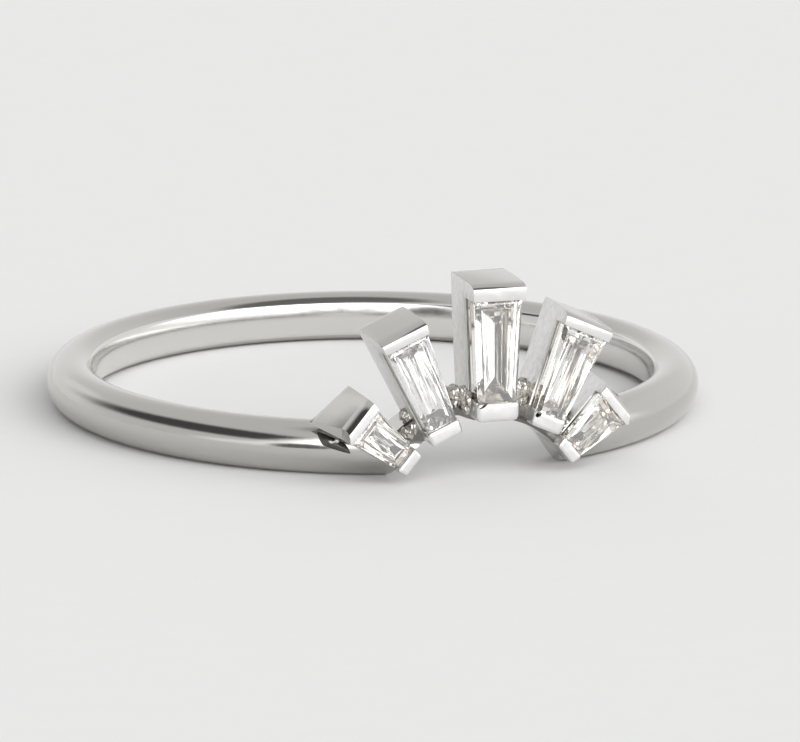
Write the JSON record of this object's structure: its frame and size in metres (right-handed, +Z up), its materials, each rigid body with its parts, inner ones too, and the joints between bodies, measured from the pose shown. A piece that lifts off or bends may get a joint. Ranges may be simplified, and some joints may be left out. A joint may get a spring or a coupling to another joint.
{
  "type": "baguette diamond ring",
  "caption": "Slim finger ring lying on its side, a plain round-wire band whose front rises into a crown-like fan of tapered baguette stones in end-cap settings.",
  "frame": {"origin": "on the finger's axis, at the plane the ring rests on when it lies on its side", "axes": "+Z up along the finger's axis, toward the wide ends of the stones; the stones face -Y; +X to the right as seen from the front"},
  "size_m": [0.0196, 0.0207, 0.0058],
  "materials": {
    "white_gold": "polished white gold",
    "diamond": "clear step-cut diamond"
  },
  "bodies": {
    "root": {"band_and_settings": "white_gold", "stone_center": "diamond", "stone_left_inner": "diamond", "stone_right_inner": "diamond", "stone_left_outer": "diamond", "stone_right_outer": "diamond"}
  },
  "joints": []
}
